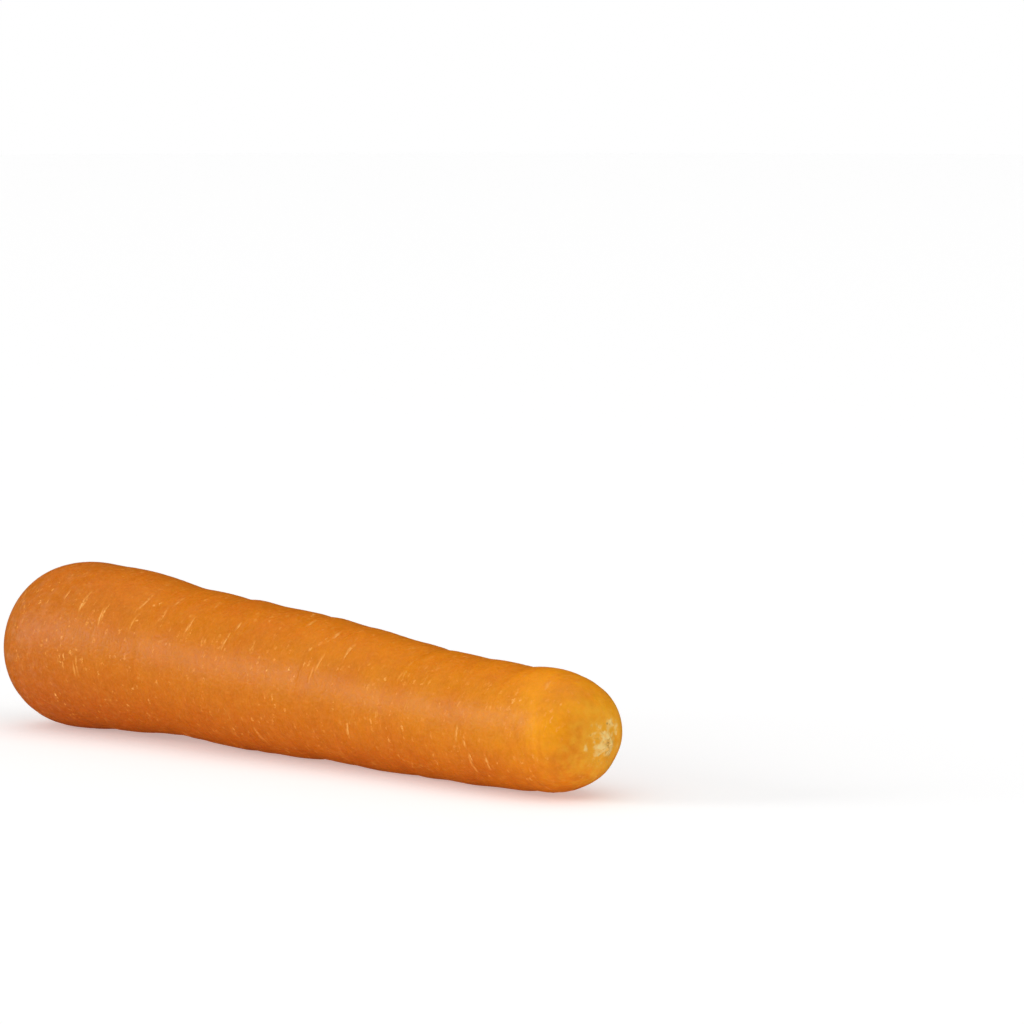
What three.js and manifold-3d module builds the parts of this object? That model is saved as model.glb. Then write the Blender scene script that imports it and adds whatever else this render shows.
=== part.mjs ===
// A washed carrot with its leaves trimmed off, lying on its side: one root that grew as one piece.
// It tapers from its broad crown at -X to its blunt tip at +X. Millimetres, +Z up.
// The origin is under the middle of the root, on the surface that it rests on.
import * as THREE from "three";
import { mergeVertices } from "three/addons/utils/BufferGeometryUtils.js";
import Module from "manifold-3d";

// Driving dimensions. "Along" is the distance from the crown's end towards the tip.
const LENGTH = 187.5;
// Radius of the root at distances along it, before its two ends are rounded off.
const BODY_RADIUS = [
  [0, 20.3],
  [14, 20.3],
  [34, 19.4],
  [54, 17.7],
  [76, 17.4],
  [112, 15.8],
  [145, 14.2],
  [167, 13.7],
  [LENGTH, 13.2],
];
// Height of the root's middle line: it arches a little between the two places that it rests on.
const MIDDLE_HEIGHT = [
  [0, 18.9],
  [14, 19.7],
  [34, 19.3],
  [54, 18.1],
  [80, 17.2],
  [110, 15.35],
  [140, 14.3],
  [167, 13.5],
  [LENGTH, 14.4],
];
const SIDEWAYS_BOW = 2.2;
// Each end is rounded off as a superellipse: how much of the length it takes, and how square it is.
const CROWN_END = { length: 22, power: 3 };
const TIP_END = { length: 22, power: 3 };

// The dish in the crown, where the leaves were trimmed off.
const DISH = { radius: 9, depth: 2.8 };
// The leaf stubs in it are crescents in a spiral, each a golden angle on from the last one. Their tops were
// cut nearly level, so each stands a little over or under the dish's rim. Their ends curl in, and the ones
// near the middle go at most so far round it.
const STUBS = {
  count: 13,
  reach: 7.8,
  turn: 2.39996,
  halfLength: [1.8, 2.8],
  mostRound: 1.1,
  curl: 0.5,
  halfThickness: [0.6, 0.9],
  proud: [-0.7, 1.3],
};

// The scar at the tip, where the thin tail root broke off: a low nub in a shallow ring, and a dent beside
// them. Each lies a little aside of the root's middle line, towards +Y, and up from it.
const TAIL = { aside: 1.2, up: -1.7 };
const TAIL_NUB = { radius: 1.9, height: 0.9, ridges: 5, ridgeShare: 0.25 };
const TAIL_RING = { radius: 4.2, halfWidth: 1.3, depth: 0.45 };
const TAIL_DENT = { aside: 6, up: -4.8, radius: 2.4, depth: 0.7 };

// Long, low swells of the surface: length along the root, turns round it, start and height.
const SWELLS = [
  { length: 61, turns: 1, start: 1.7, height: 0.33 },
  { length: 38, turns: -1, start: 4.9, height: 0.08 },
  { length: 27, turns: 2, start: 2.2, height: 0.06 },
  { length: 19, turns: -2, start: 3.9, height: 0.05 },
  { length: 14, turns: 1, start: 5, height: 0.05 },
];
const OVAL = { share: 0.012, start: 0.6 };
const THREE_SIDED = { share: 0.006, start: 1.4 };
// Swells and creases die away where the ends close in, with this power of the share of radius left.
const RELIEF_FADE_POWER = 3;

// Creases that run part of the way round, across the root. The first ones notch its top and its belly.
const TOP_ANGLE = Math.PI / 2;
const BELLY_ANGLE = -Math.PI / 2;
const NOTCHES = [
  { along: 70, angle: TOP_ANGLE },
  { along: 97, angle: TOP_ANGLE },
  { along: 136, angle: TOP_ANGLE },
  { along: 164.5, angle: TOP_ANGLE },
  { along: 54, angle: BELLY_ANGLE },
  { along: 80, angle: BELLY_ANGLE },
  { along: 102, angle: BELLY_ANGLE },
  { along: 133, angle: BELLY_ANGLE },
  { along: 170, angle: BELLY_ANGLE },
];
const NOTCH = { halfSpan: 1.2, halfWidth: 2.2, depth: 0.28 };
const CREASE = {
  count: 26,
  stretch: [16, 174],
  halfSpan: [0.5, 1.1],
  halfWidth: [1.4, 2.4],
  depth: [0.12, 0.32],
};

// How finely the surface is cut into faces.
const SIDES = 40;
const RING_SPACING = { dish: 0.75, ends: 1.5, body: 2.3 };
const OUTLINE_STEPS = 400;
// Places closer together than this count as one.
const TINY = 1e-4;
const FLOOR_BLOCK = { length: 400, width: 120, thickness: 10 };
const CARROT_ORANGE = 0xd77a20;

const mix = ([low, high], share) => low + (high - low) * share;

// A smooth curve through points [along, value], read at one place along.
function through(points, along) {
  const last = points.length - 1;
  let i = 0;
  while (i < last - 1 && along > points[i + 1][0]) i++;
  const slope = (k) => {
    const before = points[Math.max(k - 1, 0)];
    const after = points[Math.min(k + 1, last)];
    return (after[1] - before[1]) / (after[0] - before[0]);
  };
  const [x0, y0] = points[i];
  const [x1, y1] = points[i + 1];
  const h = x1 - x0;
  const t = (along - x0) / h;
  const bend = (1 - t) * (1 - t) * t * h * slope(i) - t * t * (1 - t) * h * slope(i + 1);
  return y0 + (y1 - y0) * t * t * (3 - 2 * t) + bend;
}

// 1 in the middle, falling steeply to 0 past 1 on either side: the section of a stub cut off flat.
const PLATEAU_STEEPNESS = 6;
const plateau = (x) => 1 / (1 + x ** PLATEAU_STEEPNESS);

// The shorter way round from one angle to another.
const turnBetween = (from, to) => Math.atan2(Math.sin(to - from), Math.cos(to - from));

// Shares between 0 and 1 that spread evenly without a pattern, for the k-th of a set. Each property of the
// set takes its own step, and starts at its own k, so that no two of them run together.
const GOLDEN = 0.618034;
const SILVER = 0.414214;
const PLASTIC = 0.754878;
const spread = (k, step) => (k * step) % 1;

// How much of the body's radius is left at a place along the root, where its ends round off.
function endShare(along) {
  const intoCrown = (CROWN_END.length - along) / CROWN_END.length;
  const intoTip = (along - (LENGTH - TIP_END.length)) / TIP_END.length;
  if (intoCrown > 0) return (1 - Math.min(intoCrown, 1) ** CROWN_END.power) ** (1 / CROWN_END.power);
  if (intoTip > 0) return (1 - Math.min(intoTip, 1) ** TIP_END.power) ** (1 / TIP_END.power);
  return 1;
}

// How far the dish is sunk below its rim at a distance from its middle.
const sunkAt = (radius) => DISH.depth * (0.5 + 0.5 * Math.cos((Math.PI * radius) / DISH.radius));

// The root's outline from the middle of the crown, out of the dish, over the shoulder and down to the tip,
// as points { along, radius, inDish }.
function outline() {
  const points = [];
  const rimAlong = alongWhere(DISH.radius, 0, CROWN_END.length);
  for (let i = 0; i <= OUTLINE_STEPS; i++) {
    const radius = (DISH.radius * i) / OUTLINE_STEPS;
    points.push({ along: rimAlong + sunkAt(radius), radius, inDish: true });
  }
  for (let i = 1; i <= OUTLINE_STEPS; i++) {
    // Half a cosine wave puts more points where the ends turn in.
    const share = 0.5 - 0.5 * Math.cos((Math.PI * i) / OUTLINE_STEPS);
    const along = rimAlong + (LENGTH - rimAlong) * share;
    points.push({ along, radius: through(BODY_RADIUS, along) * endShare(along), inDish: false });
  }
  return points;
}

// The place between two others, in the crown's end, where the root reaches a radius.
function alongWhere(radius, low, high) {
  const middle = (low + high) / 2;
  if (high - low < TINY) return middle;
  const reached = through(BODY_RADIUS, middle) * endShare(middle) > radius;
  return reached ? alongWhere(radius, low, middle) : alongWhere(radius, middle, high);
}

// Points of the outline at the spacing that each stretch of it gets: one for each ring of the surface.
function ringsOf(points) {
  const rings = [];
  let walked = 0;
  for (let i = 1; i < points.length - 1; i++) {
    const { along, radius, inDish } = points[i];
    const step = Math.hypot(along - points[i - 1].along, radius - points[i - 1].radius);
    const inEnd = along < CROWN_END.length || along > LENGTH - TIP_END.length;
    walked += step / (inDish ? RING_SPACING.dish : inEnd ? RING_SPACING.ends : RING_SPACING.body);
    if (walked >= 1) {
      rings.push({ along, radius, inDish });
      walked = 0;
    }
  }
  return rings;
}

const creases = [
  ...NOTCHES.map((notch) => ({ ...notch, ...NOTCH })),
  ...Array.from({ length: CREASE.count }, (_, k) => ({
    along: mix(CREASE.stretch, spread(k + 1, GOLDEN)),
    angle: 2 * Math.PI * spread(k + 1, PLASTIC),
    halfSpan: mix(CREASE.halfSpan, spread(k + 1, SILVER)),
    halfWidth: mix(CREASE.halfWidth, spread(k + 3, PLASTIC)),
    depth: mix(CREASE.depth, spread(k + 5, GOLDEN)),
  })),
];

// How far the creases press the surface in.
function creaseDepth(along, angle) {
  return creases.reduce((depth, crease) => {
    const across = (along - crease.along) / crease.halfWidth;
    const round = turnBetween(crease.angle, angle) / crease.halfSpan;
    if (Math.abs(round) >= 1) return depth;
    return depth + crease.depth * Math.exp(-across * across) * Math.cos((Math.PI / 2) * round) ** 2;
  }, 0);
}

// How far the surface stands out of the plain round outline.
function relief(along, angle, radius) {
  const oval = OVAL.share * Math.cos(2 * angle + OVAL.start);
  const threeSided = THREE_SIDED.share * Math.cos(3 * angle + THREE_SIDED.start);
  const swell = SWELLS.reduce(
    (sum, { length, turns, start, height }) =>
      sum + height * Math.sin((2 * Math.PI * along) / length + turns * angle + start),
    0,
  );
  const fade = Math.min(1, radius / through(BODY_RADIUS, along)) ** RELIEF_FADE_POWER;
  return (oval + threeSided) * radius + (swell - creaseDepth(along, angle)) * fade;
}

// How far the leaf stubs stand out of the dish.
function stubHeight(radius, angle) {
  let highest = 0;
  for (let k = 0; k < STUBS.count; k++) {
    const out = STUBS.reach * Math.sqrt((k + 0.5) / STUBS.count);
    const halfSpan = Math.min(mix(STUBS.halfLength, spread(k + 1, SILVER)) / out, STUBS.mostRound);
    const round = turnBetween(k * STUBS.turn, angle) / halfSpan;
    const offLine = radius - (out - STUBS.curl * round * round);
    const across = offLine / mix(STUBS.halfThickness, spread(k + 2, PLASTIC));
    const top = sunkAt(radius) + mix(STUBS.proud, spread(k + 3, GOLDEN));
    highest = Math.max(highest, top * plateau(across) * plateau(round));
  }
  return highest;
}

// How far the tail's scar stands out of the tip, at a place aside of the middle line and up from it.
function scarHeight(aside, up) {
  const radius = Math.hypot(aside - TAIL.aside, up - TAIL.up);
  const angle = Math.atan2(up - TAIL.up, aside - TAIL.aside);
  const ragged = 1 + TAIL_NUB.ridgeShare * Math.cos(TAIL_NUB.ridges * angle);
  const nub = TAIL_NUB.height * ragged * plateau(radius / TAIL_NUB.radius);
  const offRing = (radius - TAIL_RING.radius) / TAIL_RING.halfWidth;
  const offDent = Math.hypot(aside - TAIL_DENT.aside, up - TAIL_DENT.up) / TAIL_DENT.radius;
  const ring = TAIL_RING.depth * Math.exp(-offRing * offRing);
  const dent = TAIL_DENT.depth * Math.exp(-offDent * offDent);
  return nub - ring - dent;
}

// One point of the root's surface.
function surfacePoint({ along, radius, inDish }, angle) {
  const reach = radius + relief(along, angle, radius);
  const outOfCrown = inDish ? stubHeight(radius, angle) : 0;
  const outOfTip = along > LENGTH / 2 ? scarHeight(radius * Math.cos(angle), radius * Math.sin(angle)) : 0;
  const aside = SIDEWAYS_BOW * Math.sin((Math.PI * along) / LENGTH);
  return new THREE.Vector3(
    along - LENGTH / 2 - outOfCrown + outOfTip,
    aside + reach * Math.cos(angle),
    through(MIDDLE_HEIGHT, along) + reach * Math.sin(angle),
  );
}

// The root as a closed surface: rings of points, with one point in the middle of each end.
function rootGeometry() {
  const points = outline();
  const rings = ringsOf(points);
  const vertices = [surfacePoint(points[0], 0)];
  for (const ring of rings) {
    for (let side = 0; side < SIDES; side++) vertices.push(surfacePoint(ring, (2 * Math.PI * side) / SIDES));
  }
  vertices.push(surfacePoint(points[points.length - 1], 0));
  const tip = vertices.length - 1;
  const at = (ring, side) => 1 + ring * SIDES + (side % SIDES);
  const triangles = [];
  for (let side = 0; side < SIDES; side++) {
    triangles.push(0, at(0, side + 1), at(0, side));
    triangles.push(tip, at(rings.length - 1, side), at(rings.length - 1, side + 1));
    for (let ring = 0; ring < rings.length - 1; ring++) {
      triangles.push(at(ring, side), at(ring, side + 1), at(ring + 1, side));
      triangles.push(at(ring, side + 1), at(ring + 1, side + 1), at(ring + 1, side));
    }
  }
  const geometry = new THREE.BufferGeometry().setFromPoints(vertices);
  geometry.setIndex(triangles);
  return geometry;
}

const wasm = await Module();
wasm.setup();

// A closed three.js geometry as a solid that can be cut, and back.
function toSolid(geometry) {
  geometry.deleteAttribute("normal");
  geometry.deleteAttribute("uv");
  const merged = mergeVertices(geometry, TINY);
  return new wasm.Manifold(
    new wasm.Mesh({
      numProp: 3,
      vertProperties: merged.attributes.position.array,
      triVerts: new Uint32Array(merged.index.array),
    }),
  );
}
function toGeometry(solid) {
  const { vertProperties, triVerts } = solid.getMesh();
  const geometry = new THREE.BufferGeometry();
  geometry.setAttribute("position", new THREE.BufferAttribute(vertProperties, 3));
  geometry.setIndex(new THREE.BufferAttribute(triVerts, 1));
  return geometry;
}

// The belly is flat where the root's weight rests on the surface: what would be below it is cut off.
function restOnSurface(geometry) {
  const block = new THREE.BoxGeometry(FLOOR_BLOCK.length, FLOOR_BLOCK.width, FLOOR_BLOCK.thickness);
  block.translate(0, 0, -FLOOR_BLOCK.thickness / 2);
  return toGeometry(toSolid(geometry).subtract(toSolid(block)));
}

function carrotRoot() {
  const geometry = restOnSurface(rootGeometry());
  geometry.computeBoundingBox();
  const middle = geometry.boundingBox.getCenter(new THREE.Vector3());
  geometry.translate(-middle.x, -middle.y, 0);
  geometry.computeVertexNormals();
  const skin = new THREE.MeshStandardMaterial({ color: CARROT_ORANGE, roughness: 0.5, metalness: 0 });
  const root = new THREE.Mesh(geometry, skin);
  root.name = "carrot_root";
  return root;
}

const carrot = new THREE.Group();
carrot.add(carrotRoot());

export default carrot;
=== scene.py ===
# A washed carrot with its leaves trimmed off, lying on its belly: its fine surface, skin and light.
# The root grew as one piece, so one mesh stands for its one solid. Its crown is at -X and its tip at +X.
# The root's sizes are in millimetres, and MM turns them into the scene's metres. Angles are in radians where
# nothing else is said.
import math

import bpy
import numpy as np
from mathutils import Matrix, Vector


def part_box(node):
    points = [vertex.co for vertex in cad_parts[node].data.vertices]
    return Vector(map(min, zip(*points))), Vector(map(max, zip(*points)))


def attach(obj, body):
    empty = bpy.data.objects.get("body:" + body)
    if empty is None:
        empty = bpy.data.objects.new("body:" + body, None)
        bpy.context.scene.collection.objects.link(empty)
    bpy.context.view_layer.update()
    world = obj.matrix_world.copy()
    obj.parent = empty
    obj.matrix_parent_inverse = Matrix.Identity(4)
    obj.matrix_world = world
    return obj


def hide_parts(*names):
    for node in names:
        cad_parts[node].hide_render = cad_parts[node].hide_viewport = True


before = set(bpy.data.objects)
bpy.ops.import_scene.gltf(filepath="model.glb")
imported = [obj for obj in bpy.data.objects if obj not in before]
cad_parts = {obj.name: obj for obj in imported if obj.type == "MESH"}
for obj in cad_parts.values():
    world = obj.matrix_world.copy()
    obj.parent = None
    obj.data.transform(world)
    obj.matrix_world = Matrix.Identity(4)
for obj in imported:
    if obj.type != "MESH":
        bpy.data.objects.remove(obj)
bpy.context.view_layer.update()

MM = 0.001
TURN = 2 * math.pi

# Form of the root
# "Along" is the distance from the crown's end towards the tip. Angles go round the root: 0 is +Y, a quarter
# turn is up, and half a turn is -Y.
LENGTH = 187.5
BODY_RADIUS = [
    (0, 20.3), (14, 20.3), (34, 19.4), (54, 17.7), (76, 17.4),
    (112, 15.8), (145, 14.2), (167, 13.7), (LENGTH, 13.2),
]
MIDDLE_HEIGHT = [
    (0, 18.9), (14, 19.7), (34, 19.3), (54, 18.1), (80, 17.2),
    (110, 15.35), (140, 14.3), (167, 13.5), (LENGTH, 14.4),
]
SIDEWAYS_BOW = 2.2
# Each end is rounded off as a superellipse: how much of the length it takes, and how square it is.
CROWN_END, CROWN_POWER = 22, 3
TIP_END, TIP_POWER = 22, 3

# The dish in the crown, and the leaf stubs in it: crescents in a spiral, each a golden angle on from the last
# one. They are cut nearly level, so each stands a little over or under the dish's rim.
DISH_RADIUS, DISH_DEPTH = 9, 2.8
STUBS, STUBS_REACH, STUB_TURN = 13, 7.8, 2.39996
STUB_HALF_LENGTH, STUB_MOST_ROUND, STUB_CURL = (1.8, 2.8), 1.1, 0.5
STUB_HALF_THICKNESS, STUB_PROUD = (0.6, 0.9), (-0.7, 1.3)
PLATEAU_STEEPNESS = 6
# Each stub's cut face has dried to a shallow groove, which only this surface is fine enough to hold.
STUB_GROOVE_DEPTH, STUB_GROOVE_HALF_WIDTH, STUB_GROOVE_HALF_SPAN = 0.4, 0.45, 0.7

# The scar where the tail broke off: a low nub in a shallow ring, and a dent beside them. Each lies a little
# aside of the root's middle line, towards +Y, and up from it.
TAIL_ASIDE, TAIL_UP = 1.2, -1.7
NUB_RADIUS, NUB_HEIGHT, NUB_RIDGES, NUB_RIDGE_SHARE = 1.9, 0.9, 5, 0.25
RING_RADIUS, RING_HALF_WIDTH, RING_DEPTH = 4.2, 1.3, 0.45
DENT_ASIDE, DENT_UP, DENT_RADIUS, DENT_DEPTH = 6, -4.8, 2.4, 0.7

# Swells of the surface: length along the root, turns round it, start and height.
SWELLS = [
    (61, 1, 1.7, 0.33),
    (38, -1, 4.9, 0.08),
    (27, 2, 2.2, 0.06),
    (19, -2, 3.9, 0.05),
    (14, 1, 5, 0.05),
]
OVAL_SHARE, OVAL_START = 0.012, 0.6
THREE_SIDED_SHARE, THREE_SIDED_START = 0.006, 1.4
RELIEF_FADE_POWER = 3

# Creases part of the way round. These are the part's own.
TOP_NOTCHES = [70, 97, 136, 164.5]
BELLY_NOTCHES = [54, 80, 102, 133, 170]
NOTCH_HALF_SPAN, NOTCH_HALF_WIDTH, NOTCH_DEPTH = 1.2, 2.2, 0.28
CREASES = 26
CREASE_STRETCH, CREASE_HALF_SPAN = (16, 174), (0.5, 1.1)
CREASE_HALF_WIDTH, CREASE_DEPTH = (1.4, 2.4), (0.12, 0.32)
GOLDEN, SILVER, PLASTIC = 0.618034, 0.414214, 0.754878

# Finer wrinkles, which only this surface is fine enough to hold.
WRINKLES = 150
WRINKLE_STRETCH, WRINKLE_HALF_SPAN = (5, 182), (0.2, 0.7)
WRINKLE_HALF_WIDTH, WRINKLE_DEPTH = (0.4, 1), (0.04, 0.15)

# Pale cross scars where side roots grew: along the root, angle in degrees, and length round it. The list
# holds those on the side that the camera sees best. The others are drawn near three ranks along the root,
# whose angles and spread are in degrees too.
SCARS_IN_VIEW = [
    (26, 137, 3), (33, 140, 6), (40, 148, 6), (49, 132, 7), (57, 129, 6), (67, 140, 6), (69, 113, 3),
    (74, 149, 2), (81, 145, 6), (82, 133, 3), (90, 145, 3), (100, 112, 5), (110, 111, 5), (111, 145, 4),
    (110, 158, 3), (117, 125, 4), (136, 135, 4), (122, 198, 5), (157, 185, 3), (159, 183, 3), (160, 207, 4),
    (165, 206, 5), (177, 117, 3),
]
SCARS_BEHIND = 52
SCAR_STRETCH, SCAR_SPAN = (18, 178), (2, 7)
SCAR_RANKS, SCAR_RANK_SPREAD = [50, -45, -120], 28
STRENGTH_IN_VIEW, STRENGTH_BEHIND = (0.8, 1), (0.3, 0.9)
# A scar is a thin groove, with a lip as high as a share of its depth, so many half widths away on each side.
SCAR_HALF_WIDTH, SCAR_DEPTH = (0.26, 0.42), 0.12
SCAR_LIP, SCAR_LIP_AWAY = 0.5, 2
SCAR_FADE_POWER = 3
# Each scar is a few strokes side by side, shorter and fainter than the whole. They lean and bend a little,
# and taper to a hair at their ends.
SCAR_STROKES = 3
STROKE_ASIDE, STROKE_ROUND, STROKE_SPAN, STROKE_STRENGTH = 0.26, 0.25, (0.45, 1.1), (0.6, 1)
STROKE_LEAN, STROKE_BEND, STROKE_TAPER = 0.12, 0.05, 0.55
SEED = 7

# How finely the surface is cut into faces: more finely along the root than round it, because its thin scars
# and creases run across it.
SIDES = 104
DISH_SPACING, END_SPACING, BODY_SPACING = 0.24, 0.3, 0.22
OUTLINE_STEPS = 2000

rng = np.random.default_rng(SEED)


# Shape

def mix(span, share):
    return span[0] + (span[1] - span[0]) * share


def through(points, along):
    """A smooth curve through points (along, value), read at an array of places."""
    at, value = np.array(points, float).T
    slope = np.gradient(value, at)
    slope[1:-1] = (value[2:] - value[:-2]) / (at[2:] - at[:-2])
    piece = np.clip(np.searchsorted(at, along) - 1, 0, len(at) - 2)
    width = at[piece + 1] - at[piece]
    share = (along - at[piece]) / width
    leaving = (1 - share) ** 2 * share * width * slope[piece]
    arriving = share * share * (1 - share) * width * slope[piece + 1]
    rise = (value[piece + 1] - value[piece]) * share * share * (3 - 2 * share)
    return value[piece] + rise + (leaving - arriving)


def plateau(away):
    """1 in the middle, falling steeply to 0 past 1 on either side."""
    return 1 / (1 + away ** PLATEAU_STEEPNESS)


def turn_between(start, end):
    """The shorter way round from one angle to another."""
    return np.arctan2(np.sin(end - start), np.cos(end - start))


def spread(k, step):
    """A share from 0 to 1 for each count k. The shares fill the range evenly, in no order that is seen."""
    return (k * step) % 1


def end_share(along):
    """How much of the body's radius is left where the ends round off."""
    into_crown = np.clip((CROWN_END - along) / CROWN_END, 0, 1)
    into_tip = np.clip((along - (LENGTH - TIP_END)) / TIP_END, 0, 1)
    crown = (1 - into_crown ** CROWN_POWER) ** (1 / CROWN_POWER)
    return crown * (1 - into_tip ** TIP_POWER) ** (1 / TIP_POWER)


def plain_radius(along):
    return through(BODY_RADIUS, along) * end_share(along)


def sunk_at(radius):
    """How far the dish is sunk below its rim at a distance from its middle."""
    return DISH_DEPTH * (0.5 + 0.5 * np.cos(math.pi * radius / DISH_RADIUS))


def outline():
    """The outline from the middle of the dish to the tip: along, radius and whether it is in the dish."""
    share = np.arange(OUTLINE_STEPS + 1) / OUTLINE_STEPS
    shoulder = CROWN_END * share
    rim = np.interp(DISH_RADIUS, plain_radius(shoulder), shoulder)
    dish_radius = DISH_RADIUS * share
    skin = rim + (LENGTH - rim) * (0.5 - 0.5 * np.cos(math.pi * share[1:]))
    along = np.concatenate([rim + sunk_at(dish_radius), skin])
    radius = np.concatenate([dish_radius, plain_radius(skin)])
    in_dish = np.concatenate([np.ones(share.size), np.zeros(skin.size)])
    return along, radius, in_dish


def rings():
    """One place on the outline for each ring of the surface, at the spacing of its part of the outline."""
    along, radius, in_dish = outline()
    step = np.hypot(np.diff(along), np.diff(radius))
    in_end = (along < CROWN_END) | (along > LENGTH - TIP_END)
    spacing = np.where(in_dish, DISH_SPACING, np.where(in_end, END_SPACING, BODY_SPACING))
    walked = np.concatenate([[0], np.cumsum(step / spacing[1:])])
    wanted = np.arange(1, int(walked[-1]))
    return [np.interp(wanted, walked, values)[:, None] for values in (along, radius, in_dish)]


def part_creases():
    """The part's notches and creases: along, angle, half span round the root, half width and depth."""
    places = [(at, TURN / 4) for at in TOP_NOTCHES] + [(at, -TURN / 4) for at in BELLY_NOTCHES]
    notches = [(at, middle, NOTCH_HALF_SPAN, NOTCH_HALF_WIDTH, NOTCH_DEPTH) for at, middle in places]
    return notches + [
        (
            mix(CREASE_STRETCH, spread(k + 1, GOLDEN)),
            TURN * spread(k + 1, PLASTIC),
            mix(CREASE_HALF_SPAN, spread(k + 1, SILVER)),
            mix(CREASE_HALF_WIDTH, spread(k + 3, PLASTIC)),
            mix(CREASE_DEPTH, spread(k + 5, GOLDEN)),
        )
        for k in range(CREASES)
    ]


def fine_wrinkles():
    """The wrinkles, each with the same five values as a crease."""
    return [
        (
            mix(WRINKLE_STRETCH, rng.random()),
            TURN * rng.random(),
            mix(WRINKLE_HALF_SPAN, rng.random()),
            mix(WRINKLE_HALF_WIDTH, rng.random()),
            mix(WRINKLE_DEPTH, rng.random()),
        )
        for _ in range(WRINKLES)
    ]


def pressed_in(creases, along, angle):
    """How far a list of creases presses the surface in."""
    depth = np.zeros(np.broadcast(along, angle).shape)
    for at, middle, half_span, half_width, deep in creases:
        round_it = np.clip(np.abs(turn_between(middle, angle)) / half_span, 0, 1)
        across = np.exp(-(((along - at) / half_width) ** 2))
        depth += deep * across * np.cos(TURN / 4 * round_it) ** 2
    return depth


def relief(along, angle, radius, depth):
    """How far the swells and creases move the surface out. They fade where the ends round off."""
    oval = OVAL_SHARE * np.cos(2 * angle + OVAL_START)
    three_sided = THREE_SIDED_SHARE * np.cos(3 * angle + THREE_SIDED_START)
    swell = sum(
        height * np.sin(TURN * along / length + turns * angle + start)
        for length, turns, start, height in SWELLS
    )
    fade = np.minimum(1, radius / through(BODY_RADIUS, along)) ** RELIEF_FADE_POWER
    return (oval + three_sided) * radius + (swell - depth) * fade


def stub_height(radius, angle):
    """How far the leaf stubs stand out of the dish."""
    highest = np.zeros(np.broadcast(radius, angle).shape)
    for k in range(STUBS):
        out = STUBS_REACH * math.sqrt((k + 0.5) / STUBS)
        half_span = min(mix(STUB_HALF_LENGTH, spread(k + 1, SILVER)) / out, STUB_MOST_ROUND)
        around = turn_between(k * STUB_TURN, angle) / half_span
        off_line = radius - (out - STUB_CURL * around * around)
        across = off_line / mix(STUB_HALF_THICKNESS, spread(k + 2, PLASTIC))
        top = sunk_at(radius) + mix(STUB_PROUD, spread(k + 3, GOLDEN))
        groove = plateau(across / STUB_GROOVE_HALF_WIDTH) * plateau(around / STUB_GROOVE_HALF_SPAN)
        stub = (top - STUB_GROOVE_DEPTH * groove) * plateau(across) * plateau(around)
        highest = np.maximum(highest, stub)
    return highest


def tail_distance(aside, up):
    """How far a place is from the middle of the tail's scar."""
    return np.hypot(aside - TAIL_ASIDE, up - TAIL_UP)


def tail_scar_height(aside, up):
    """How far the tail's scar stands out of the tip, at a place aside of the middle line and up from it."""
    radius = tail_distance(aside, up)
    angle = np.arctan2(up - TAIL_UP, aside - TAIL_ASIDE)
    ragged = 1 + NUB_RIDGE_SHARE * np.cos(NUB_RIDGES * angle)
    nub = NUB_HEIGHT * ragged * plateau(radius / NUB_RADIUS)
    ring = RING_DEPTH * np.exp(-(((radius - RING_RADIUS) / RING_HALF_WIDTH) ** 2))
    off_dent = np.hypot(aside - DENT_ASIDE, up - DENT_UP) / DENT_RADIUS
    return nub - ring - DENT_DEPTH * np.exp(-off_dent * off_dent)


def scars():
    """Every cross scar: along, angle, length round the root and how pale it is."""
    in_view = [
        (at, math.radians(degrees), span, mix(STRENGTH_IN_VIEW, rng.random()))
        for at, degrees, span in SCARS_IN_VIEW
    ]
    behind = [
        (
            mix(SCAR_STRETCH, rng.random()),
            math.radians(rng.choice(SCAR_RANKS) + SCAR_RANK_SPREAD * rng.normal()),
            mix(SCAR_SPAN, rng.random()),
            mix(STRENGTH_BEHIND, rng.random()),
        )
        for _ in range(SCARS_BEHIND)
    ]
    return in_view + behind


def scar_strokes():
    """The strokes that the scars are made of: along, angle, length, strength, half width, lean and bend."""
    return [
        (
            at + STROKE_ASIDE * rng.normal(),
            angle + STROKE_ROUND * span / plain_radius(at) * rng.normal(),
            span * mix(STROKE_SPAN, rng.random()),
            strength * mix(STROKE_STRENGTH, rng.random()),
            mix(SCAR_HALF_WIDTH, rng.random()),
            STROKE_LEAN * rng.normal(),
            STROKE_BEND * rng.normal(),
        )
        for at, angle, span, strength in scars()
        for _ in range(SCAR_STROKES)
    ]


def scar_fields(along, angle, radius):
    """How pale the skin is with scars, and how far their grooves and lips move it."""
    pale = np.zeros(np.broadcast(along, angle).shape)
    raised = np.zeros_like(pale)
    for at, middle, span, strength, half_width, lean, bend in scar_strokes():
        arc = turn_between(middle, angle) * radius
        reached = np.clip(np.abs(arc) / (span / 2), 0, 1)
        line = at + lean * arc + bend * arc * arc
        across = (along - line) / (half_width * (1 - STROKE_TAPER * reached))
        reach = strength * (1 - reached ** SCAR_FADE_POWER)
        groove = np.exp(-across * across)
        lips = np.exp(-((np.abs(across) - SCAR_LIP_AWAY) ** 2))
        pale = np.maximum(pale, reach * groove)
        raised += reach * SCAR_DEPTH * (SCAR_LIP * lips - groove)
    return pale, raised


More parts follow.
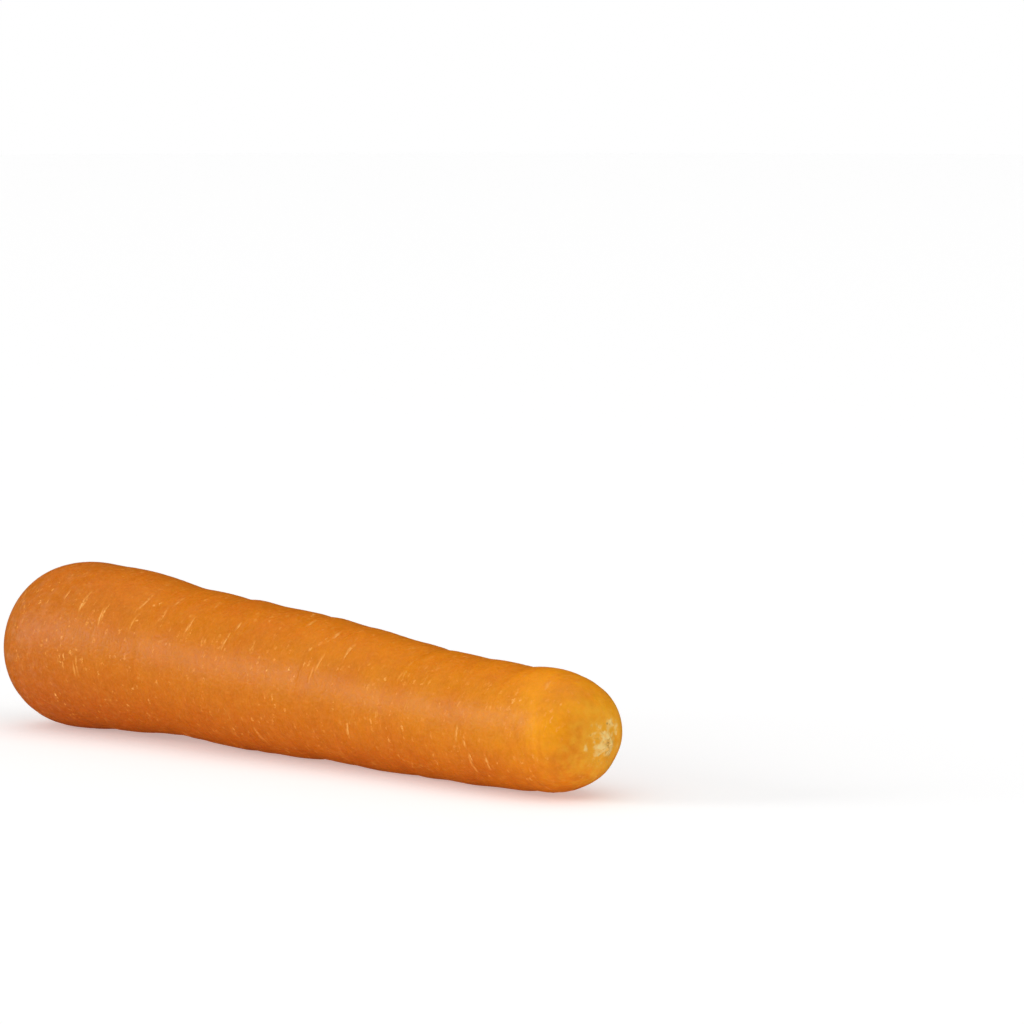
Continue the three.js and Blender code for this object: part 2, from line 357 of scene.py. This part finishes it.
def root_surface():
    """The root's points, ring by ring, their places on a straight root, and the fields for its colour."""
    along, radius, in_dish = rings()
    angle = (TURN * np.arange(SIDES) / SIDES)[None, :]
    creases = pressed_in(part_creases(), along, angle)
    wrinkles = pressed_in(fine_wrinkles(), along, angle)
    pale, raised = scar_fields(along, angle, radius)
    stubs = stub_height(radius, angle) * in_dish
    at_tip = along > LENGTH / 2
    aside, up = radius * np.cos(angle), radius * np.sin(angle)
    tail = tail_scar_height(aside, up) * at_tip
    skin = 1 - in_dish
    reach = radius + relief(along, angle, radius, creases + wrinkles) + raised * skin
    x = along - LENGTH / 2 - stubs + tail
    y = SIDEWAYS_BOW * np.sin(math.pi * along / LENGTH) + reach * np.cos(angle)
    z = through(MIDDLE_HEIGHT, along) + reach * np.sin(angle)
    points = np.stack([x, y, z], axis=-1)
    grown = np.stack(np.broadcast_arrays(along, aside, up), axis=-1)
    # The distances from the dish's and the tail scar's middle count at their own end. At the other one they
    # are set to the whole length, which is past anything that they colour.
    fields = {
        "scar": pale * skin,
        "crown": np.where(at_tip, LENGTH, radius),
        "stub": stubs,
        "tail": np.where(at_tip, tail_distance(aside, up), LENGTH),
        "belly": -up / through(BODY_RADIUS, along),
    }
    return points, grown, fields


def close_ends(grid):
    """The rings' values as one row a vertex, with one more vertex in the middle of each end."""
    first, last = grid[0].mean(axis=0, keepdims=True), grid[-1].mean(axis=0, keepdims=True)
    return np.concatenate([first, grid.reshape(-1, *grid.shape[2:]), last])


def ring_faces(ring_count):
    """Quads between the rings, and a fan of triangles over each end."""
    tip = 1 + ring_count * SIDES
    last = tip - SIDES
    neighbours = [(side, (side + 1) % SIDES) for side in range(SIDES)]
    quads = [
        (ring + side, ring + beside, ring + SIDES + beside, ring + SIDES + side)
        for ring in range(1, last, SIDES)
        for side, beside in neighbours
    ]
    crown_fan = [(0, 1 + beside, 1 + side) for side, beside in neighbours]
    tip_fan = [(tip, last + side, last + beside) for side, beside in neighbours]
    return quads + crown_fan + tip_fan


def fit_to_part(points):
    """Sets the points in the part's own box, with the belly pressed flat where it rests."""
    low, high = (np.array(corner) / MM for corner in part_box("carrot_root"))
    middle = (points.min(axis=0) + points.max(axis=0)) / 2
    points[:, :2] += ((low + high) / 2 - middle)[:2]
    return np.clip(points, low, high) * MM


def make_root():
    points, grown, fields = root_surface()
    mesh = bpy.data.meshes.new("carrot_skin_surface")
    mesh.from_pydata(fit_to_part(close_ends(points)), [], ring_faces(len(points)))
    mesh.shade_smooth()
    place = mesh.attributes.new("grown", "FLOAT_VECTOR", "POINT")
    place.data.foreach_set("vector", close_ends(grown).ravel())
    for name, field in fields.items():
        values = np.broadcast_to(field, points.shape[:2])
        attribute = mesh.attributes.new(name, "FLOAT", "POINT")
        attribute.data.foreach_set("value", close_ends(values).ravel())
    root = bpy.data.objects.new("carrot_skin_root", mesh)
    bpy.context.collection.objects.link(root)
    return root


# Materials

# The sockets of a node that mixes two colours. It has others of the same names for other kinds of values.
MIX_SHARE, MIX_UNDER, MIX_OVER, MIX_RESULT = 0, 6, 7, 2

# How a texture is stretched: not at all, or to bands that run round the root.
EVENLY, ROUND_IT = (1, 1, 1), (1, 0.12, 0.12)


class Tree:
    """A material's nodes, made by short calls that link as they go."""

    def __init__(self, material):
        material.use_nodes = True
        self.nodes, self.links = material.node_tree.nodes, material.node_tree.links
        self.nodes.clear()

    def add(self, kind, settings=None, **inputs):
        """A node with its settings. Inputs go by their names, with _ for a space."""
        node = self.nodes.new(kind)
        for name, value in (settings or {}).items():
            setattr(node, name, value)
        for name, value in inputs.items():
            self.set(node.inputs[name.replace("_", " ")], value)
        return node

    def set(self, socket, value):
        """Links a socket to another one, or gives it a plain value."""
        if isinstance(value, bpy.types.NodeSocket):
            self.links.new(value, socket)
        else:
            socket.default_value = value

    def calculate(self, kind, operation, *values):
        node = self.add(kind, {"operation": operation})
        for socket, value in zip(node.inputs, values):
            self.set(socket, value)
        return node.outputs[0]

    def math(self, operation, *numbers):
        return self.calculate("ShaderNodeMath", operation, *numbers)

    def vector_math(self, operation, *vectors):
        return self.calculate("ShaderNodeVectorMath", operation, *vectors)

    def field(self, name):
        """One of the numbers that the mesh holds for each of its points."""
        return self.add("ShaderNodeAttribute", {"attribute_name": name}).outputs["Fac"]

    def steps(self, value, low, high, to_low=0.0, to_high=1.0):
        """A value eased from one range to another."""
        node = self.add("ShaderNodeMapRange", {"interpolation_type": "SMOOTHSTEP"})
        names = ("Value", "From Min", "From Max", "To Min", "To Max")
        for name, number in zip(names, (value, low, high, to_low, to_high)):
            self.set(node.inputs[name], number)
        return node.outputs[0]

    def blend(self, share, under, over, how="MIX"):
        """One colour over another."""
        node = self.add("ShaderNodeMix", {"data_type": "RGBA", "blend_type": how})
        for index, value in ((MIX_SHARE, share), (MIX_UNDER, under), (MIX_OVER, over)):
            self.set(node.inputs[index], value)
        return node.outputs[MIX_RESULT]

    def noise(self, place, per_mm, detail, stretch=EVENLY):
        scaled = self.add("ShaderNodeMapping", Vector=place, Scale=stretch).outputs[0]
        node = self.add("ShaderNodeTexNoise", Vector=scaled, Scale=per_mm, Detail=detail)
        return node.outputs["Fac"]

    def mottle(self, place, noise, ramp, stretch=EVENLY):
        """A noise eased by a ramp."""
        return self.steps(self.noise(place, *noise, stretch), *ramp)

    def show(self, shader):
        output = self.add("ShaderNodeOutputMaterial")
        self.links.new(shader.outputs[0], output.inputs["Surface"])


def rgb(red, green, blue):
    """The linear colour that a shader takes, from one as a screen shows it, 0 to 255, by the sRGB curve."""
    def linear(level):
        share = level / 255
        return share / 12.92 if share <= 0.04045 else ((share + 0.055) / 1.055) ** 2.4
    return (linear(red), linear(green), linear(blue), 1.0)


# Skin

CROWN_ORANGE = rgb(200, 107, 20)
ORANGE = rgb(212, 119, 4)
FRONT_ORANGE = rgb(220, 129, 3)
TIP_ORANGE = rgb(245, 159, 8)
DEEP_ORANGE = rgb(206, 104, 6)
SHOULDER_TAN = rgb(190, 116, 54)
SCUFF_PINK = rgb(222, 150, 100)
SCAR_ORANGE = rgb(248, 164, 70)
SCAR_CREAM = rgb(253, 196, 112)
HALO_YELLOW = rgb(240, 174, 40)
CORK_CREAM = rgb(246, 214, 136)
CORK_BROWN = rgb(176, 124, 34)
DISH_BROWN = rgb(106, 72, 38)
DISH_OLIVE = rgb(124, 98, 50)
STUB_STRAW = rgb(190, 166, 106)
STUB_GREEN = rgb(142, 134, 62)
STUB_BROWN = rgb(134, 92, 46)
# Tints multiply the colour under them. The belly's tint is painted shade and the top's tint is painted light.
BELLY_PAINTED_SHADE = (0.9, 0.67, 0.68, 1)
TOP_PAINTED_LIGHT = (1.14, 1.05, 0.85, 1)

# A noise is how many features it has in a millimetre, and its detail. A ramp is the two values of a field
# that it eases between, and what it turns them into where that isn't 0 and 1.
TO_ORANGE, TO_FRONT, TO_TIP = (0, 0.3 * LENGTH), (0.3 * LENGTH, 0.9 * LENGTH), (0.84 * LENGTH, LENGTH)
BROAD_NOISE, BROAD_RAMP = (0.11, 4), (0.4, 0.7, 0, 0.4)
BAND_NOISE, BAND_RAMP = (0.45, 4), (0.45, 0.75, 0, 0.35)
SHOULDER_NOISE, SHOULDER_SHIFT, SHOULDER_RAMP = (0.3, 4), (0.3, 0.7, -8, 8), (14, -4, 0, 0.6)
SCUFF_NOISE, SCUFF_RAMP, SCUFF_REACH = (0.5, 5), (0.45, 0.75), (0.25 * LENGTH, 0, 0, 0.36)
# The field for the belly is 1 at its lowest line and -1 at the root's top.
BELLY_SHADE_RAMP, TOP_LIGHT_RAMP = (-0.2, 0.85), (-0.6, -1)
PATCH_NOISE, PATCH_RAMP = (0.4, 5), (0.3, 0.7, 0.96, 1.04)
HAZE_NOISE, HAZE_RAMP = (0.6, 3), (0.5, 0.75, 0, 0.14)

# The skin's fine grain, and what it does to the colour's value, to the haze and to the roughness.
GRAIN_NOISE, GRAIN_VALUE = (1.4, 5), (0.25, 0.75, 0.975, 1.025)
GRAIN_HAZE, GRAIN_ROUGHNESS = (0.4, 0.8, 0, 0.12), (0.3, 0.7, 0.32, 0.48)
RIB_NOISE, RIB_SHARE = (2.2, 4), 0.3
BUMP_HEIGHT = 0.14 * MM

# Scars are broken up by a noise. Their edges are orange and their middles cream.
BREAK_NOISE, BREAK_RAMP = (1.0, 3), (0.28, 0.48)
PALE_EDGE, PALE_MIDDLE = (0, 0.8, 0, 0.8), (0.5, 1.0)

# Small marks: cells in a millimetre, how those are stretched, the random value that a cell has to pass to
# hold a mark, and the mark's radius in its cell.
STROKE_CELLS = (1.0, (1.3, 0.3, 0.3), 0.82, 0.4)
FLECK_CELLS = (1.0, (1.0, 0.55, 0.55), 0.74, 0.45)
DOT_CELLS = (0.6, EVENLY, 0.55, 0.4)
# How much of a mark's radius is at its full strength.
MARK_CORE = 0.3
WOBBLE_PER_MM, WOBBLE_DETAIL, WOBBLE = 1.7, 3, (1.3, 2.6, 2.6)
NOISE_MIDDLE = (0.5, 0.5, 0.5)
GATHER_NOISE, GATHER_RAMP = (0.09, 2), (0.35, 0.7, 0.3, 0.78)

# The tail's scar, by the distance from its middle. A noise shifts the distance, so that all edges are ragged.
TAIL_NOISE, TAIL_SHIFT = (0.5, 4), (0.25, 0.75, -3, 3)
HALO_RAMP, CORK_RAMP = (12, 3, 0, 0.7), (5, 2, 0, 0.4)
PIT_NOISE, PIT_RAMP, PIT_REACH = (1.1, 4), (0.54, 0.68), (5, 3, 0, 0.75)
CHIP_NOISE, CHIP_RAMP, CHIP_REACH = (0.9, 5), (0.6, 0.42), (4.2, 1.5, 0, 0.8)

# The crown, by the distance from the dish's middle, shifted the same way.
FIBRE_NOISE, CLUMP_NOISE = (1.5, 5), (0.4, 3)
DISH_MOTTLE, STUB_MOTTLE, STUB_STREAKS = (0.3, 0.7), (0.4, 0.6), (0.52, 0.66, 0, 0.8)
STUB_RISE = (0.3, 1.4)
DISH_SHIFT = (0.3, 0.7, -0.9, 0.9)
DISH_HALO, DISH_EDGE = (DISH_RADIUS + 4, DISH_RADIUS, 0, 0.4), (DISH_RADIUS + 0.8, DISH_RADIUS - 0.6)

# The skin's gloss, and how far light goes into the flesh: its share, its spread by colour, and the depth.
GLOSS = 0.18
GLOW_SHARE, GLOW_SPREAD, GLOW_DEPTH = 0.1, (1.0, 0.35, 0.12), 1.2 * MM


def skin_colour(tree, place, along, grain):
    """Mottled orange, duller at the crown and yellower towards the tip, with painted shade making it darker
    and redder under the belly and painted light making it lighter along the top.
    """
    colour = CROWN_ORANGE
    for ramp, further_on in ((TO_ORANGE, ORANGE), (TO_FRONT, FRONT_ORANGE), (TO_TIP, TIP_ORANGE)):
        colour = tree.blend(tree.steps(along, *ramp), colour, further_on)
    broad = tree.mottle(place, BROAD_NOISE, BROAD_RAMP)
    bands = tree.mottle(place, BAND_NOISE, BAND_RAMP, ROUND_IT)
    colour = tree.blend(tree.math("MAXIMUM", broad, bands), colour, DEEP_ORANGE)
    shoulder = tree.math("ADD", along, tree.mottle(place, SHOULDER_NOISE, SHOULDER_SHIFT))
    colour = tree.blend(tree.steps(shoulder, *SHOULDER_RAMP), colour, SHOULDER_TAN)
    scuffs = tree.mottle(place, SCUFF_NOISE, SCUFF_RAMP)
    scuffs = tree.math("MULTIPLY", scuffs, tree.steps(along, *SCUFF_REACH))
    colour = tree.blend(scuffs, colour, SCUFF_PINK)
    belly = tree.field("belly")
    # Painted shade: the colour is multiplied darker and redder towards the belly.
    colour = tree.blend(tree.steps(belly, *BELLY_SHADE_RAMP), colour, BELLY_PAINTED_SHADE, "MULTIPLY")
    # Painted light: the colour is multiplied lighter along the root's top.
    colour = tree.blend(tree.steps(belly, *TOP_LIGHT_RAMP), colour, TOP_PAINTED_LIGHT, "MULTIPLY")
    patches = tree.mottle(place, PATCH_NOISE, PATCH_RAMP)
    value = tree.math("MULTIPLY", patches, tree.steps(grain, *GRAIN_VALUE))
    colour = tree.add("ShaderNodeHueSaturation", Value=value, Color=colour).outputs[0]
    haze = tree.math("MAXIMUM", tree.mottle(place, HAZE_NOISE, HAZE_RAMP), tree.steps(grain, *GRAIN_HAZE))
    return tree.blend(haze, colour, SCAR_ORANGE)


def cells(tree, place, per_mm, stretch, chosen, size):
    """Marks of one size in the few cells of a texture whose own random value passes a limit."""
    scaled = tree.add("ShaderNodeMapping", Vector=place, Scale=stretch).outputs[0]
    cell = tree.add("ShaderNodeTexVoronoi", Vector=scaled, Scale=per_mm)
    own = tree.add("ShaderNodeSeparateColor", Color=cell.outputs["Color"]).outputs[0]
    mark = tree.steps(cell.outputs["Distance"], size, size * MARK_CORE)
    return tree.math("MULTIPLY", tree.steps(own, chosen, 1.0), mark)


def wobbled(tree, place):
    """The place moved a little to and fro, so that what is drawn by it comes out ragged."""
    noise = tree.add("ShaderNodeTexNoise", Vector=place, Scale=WOBBLE_PER_MM, Detail=WOBBLE_DETAIL)
    centred = tree.vector_math("SUBTRACT", noise.outputs["Color"], NOISE_MIDDLE)
    return tree.vector_math("MULTIPLY_ADD", centred, WOBBLE, place)


def small_marks(tree, place):
    """Small ragged strokes, flecks and dots scattered over the skin, clearer in some places."""
    ragged = wobbled(tree, place)
    strokes, flecks, dots = (cells(tree, ragged, *kind) for kind in (STROKE_CELLS, FLECK_CELLS, DOT_CELLS))
    marks = tree.math("MAXIMUM", strokes, tree.math("MAXIMUM", flecks, dots))
    return tree.math("MULTIPLY", marks, tree.mottle(place, GATHER_NOISE, GATHER_RAMP))


def scar_colour(tree, place, colour):
    """The cross scars and the small marks, pale over the skin."""
    scars_left = tree.math("MULTIPLY", tree.field("scar"), tree.mottle(place, BREAK_NOISE, BREAK_RAMP))
    pale = tree.math("MAXIMUM", scars_left, small_marks(tree, place))
    colour = tree.blend(tree.steps(pale, *PALE_EDGE), colour, SCAR_ORANGE)
    return tree.blend(tree.steps(pale, *PALE_MIDDLE), colour, SCAR_CREAM)


def tail_colour(tree, place, colour):
    """A yellow halo round the tail's scar, and pale cork in it, with brown pits and cream chips."""
    away = tree.math("ADD", tree.field("tail"), tree.mottle(place, TAIL_NOISE, TAIL_SHIFT))
    colour = tree.blend(tree.steps(away, *HALO_RAMP), colour, HALO_YELLOW)
    colour = tree.blend(tree.steps(away, *CORK_RAMP), colour, CORK_CREAM)
    pits = tree.math("MULTIPLY", tree.mottle(place, PIT_NOISE, PIT_RAMP), tree.steps(away, *PIT_REACH))
    colour = tree.blend(pits, colour, CORK_BROWN)
    chips = tree.math("MULTIPLY", tree.mottle(place, CHIP_NOISE, CHIP_RAMP), tree.steps(away, *CHIP_REACH))
    return tree.blend(chips, colour, CORK_CREAM)


def crown_colour(tree, place, colour):
    """Brown remains of leaf bases, with a ragged edge, and the cut stubs in straw and green."""
    fibres = tree.noise(place, *FIBRE_NOISE)
    clumps = tree.noise(place, *CLUMP_NOISE)
    floor = tree.blend(tree.steps(fibres, *DISH_MOTTLE), DISH_BROWN, DISH_OLIVE)
    top = tree.blend(tree.steps(clumps, *STUB_MOTTLE), STUB_GREEN, STUB_STRAW)
    top = tree.blend(tree.steps(fibres, *STUB_STREAKS), top, STUB_BROWN)
    bases = tree.blend(tree.steps(tree.field("stub"), *STUB_RISE), floor, top)
    away = tree.math("ADD", tree.field("crown"), tree.steps(clumps, *DISH_SHIFT))
    colour = tree.blend(tree.steps(away, *DISH_HALO), colour, DISH_OLIVE)
    return tree.blend(tree.steps(away, *DISH_EDGE), colour, bases)


def skin_material():
    material = bpy.data.materials.new("carrot_skin")
    tree = Tree(material)
    place = tree.add("ShaderNodeAttribute", {"attribute_name": "grown"}).outputs["Vector"]
    along = tree.add("ShaderNodeSeparateXYZ", Vector=place).outputs["X"]
    grain = tree.noise(place, *GRAIN_NOISE)
    ribs = tree.math("MULTIPLY", tree.noise(place, *RIB_NOISE, ROUND_IT), RIB_SHARE)
    height = tree.math("ADD", grain, ribs)
    colour = skin_colour(tree, place, along, grain)
    for cover in (scar_colour, tail_colour, crown_colour):
        colour = cover(tree, place, colour)
    tree.show(tree.add(
        "ShaderNodeBsdfPrincipled",
        Base_Color=colour,
        Roughness=tree.steps(grain, *GRAIN_ROUGHNESS),
        Specular_IOR_Level=GLOSS,
        Normal=tree.add("ShaderNodeBump", Distance=BUMP_HEIGHT, Height=height).outputs[0],
        Subsurface_Weight=GLOW_SHARE,
        Subsurface_Radius=GLOW_SPREAD,
        Subsurface_Scale=GLOW_DEPTH,
    ))
    return material


# Stage

WHITE = (1, 1, 1, 1)
# The floor's size and its gap under the root are in metres.
FLOOR_SIZE, FLOOR_GAP = 60, 0.02 * MM
FLOOR_COLOUR, FLOOR_ROUGHNESS, FLOOR_GLOW = (0.78, 0.78, 0.78, 1), 0.9, 0.34

# The view: where the camera looks from, its lens and sensor in millimetres, its distance in metres from the
# root's middle, and the pixel of the photo's square frame that this middle is at.
VIEW_AZIMUTH, VIEW_ELEVATION = math.radians(45), math.radians(5)
LENS, SENSOR = 150, 36
DISTANCE = 0.971
ROOT_MIDDLE = Vector((0, 0, 17 * MM))
FRAME_PIXELS = 1024
MIDDLE_PIXEL = (306.75, 684.0)

# Far, broad lights: azimuth, elevation and the angle that each one spans in degrees, and its strength.
STUDIO_LIGHTS = [
    ("key", -42, 17, 24, 1.06),
    ("top", 10, 75, 90, 1.17),
    ("fill", 100, 25, 60, 0.5),
]
# How strongly the surround lights the root. The camera sees it at 1.
SURROUND_LIGHT = 0.37


def make_floor():
    """A glowing white floor. The skin doesn't mirror it."""
    half = FLOOR_SIZE / 2
    mesh = bpy.data.meshes.new("floor")
    corners = [(-half, -half), (half, -half), (half, half), (-half, half)]
    mesh.from_pydata([(x, y, -FLOOR_GAP) for x, y in corners], [], [(0, 1, 2, 3)])
    floor = bpy.data.objects.new("floor", mesh)
    bpy.context.collection.objects.link(floor)
    material = bpy.data.materials.new("white_floor")
    tree = Tree(material)
    tree.show(tree.add(
        "ShaderNodeBsdfPrincipled",
        Base_Color=FLOOR_COLOUR,
        Roughness=FLOOR_ROUGHNESS,
        Emission_Color=WHITE,
        Emission_Strength=FLOOR_GLOW,
    ))
    mesh.materials.append(material)
    floor.visible_glossy = False


def direction(azimuth, elevation):
    """From the root towards a place round it. Azimuth 0 is at -Y and a quarter turn is at +X."""
    flat = math.cos(elevation)
    return Vector((math.sin(azimuth) * flat, -math.cos(azimuth) * flat, math.sin(elevation)))


def make_camera():
    """The camera stands where the photo's did, so that the root's middle falls on its pixel there."""
    back = direction(VIEW_AZIMUTH, VIEW_ELEVATION)
    right = Vector((math.cos(VIEW_AZIMUTH), math.sin(VIEW_AZIMUTH), 0))
    up = back.cross(right)
    metres_per_pixel = DISTANCE * SENSOR / (LENS * FRAME_PIXELS)
    beside = (MIDDLE_PIXEL[0] - FRAME_PIXELS / 2) * metres_per_pixel
    above = (FRAME_PIXELS / 2 - MIDDLE_PIXEL[1]) * metres_per_pixel
    data = bpy.data.cameras.new("camera")
    data.lens = LENS
    data.sensor_width = SENSOR
    camera = bpy.data.objects.new("camera", data)
    bpy.context.collection.objects.link(camera)
    camera.matrix_world = (
        Matrix.Translation(ROOT_MIDDLE - right * beside - up * above + back * DISTANCE)
        @ Matrix((right, up, back)).transposed().to_4x4()
    )
    bpy.context.scene.camera = camera


def make_lights():
    for name, azimuth, elevation, spanned, strength in STUDIO_LIGHTS:
        data = bpy.data.lights.new(name, "SUN")
        data.angle = math.radians(spanned)
        data.energy = strength
        light = bpy.data.objects.new(name, data)
        bpy.context.collection.objects.link(light)
        towards = direction(math.radians(azimuth), math.radians(elevation))
        light.location = towards
        light.rotation_mode = "QUATERNION"
        light.rotation_quaternion = towards.to_track_quat("Z", "Y")


def make_surround():
    """White walls all round, which light the root less than they look. The skin doesn't mirror them."""
    world = bpy.data.worlds.new("studio")
    world.use_nodes = True
    nodes, links = world.node_tree.nodes, world.node_tree.links
    background = nodes["Background"]
    background.inputs["Color"].default_value = WHITE
    seen = nodes.new("ShaderNodeLightPath").outputs["Is Camera Ray"]
    strength = nodes.new("ShaderNodeMapRange")
    strength.inputs["To Min"].default_value = SURROUND_LIGHT
    links.new(seen, strength.inputs["Value"])
    links.new(strength.outputs[0], background.inputs["Strength"])
    world.cycles_visibility.glossy = False
    bpy.context.scene.world = world
    bpy.context.scene.view_settings.view_transform = "Standard"


root = make_root()
root.data.materials.append(skin_material())
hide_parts("carrot_root")
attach(root, "root")
make_floor()
make_lights()
make_surround()
make_camera()
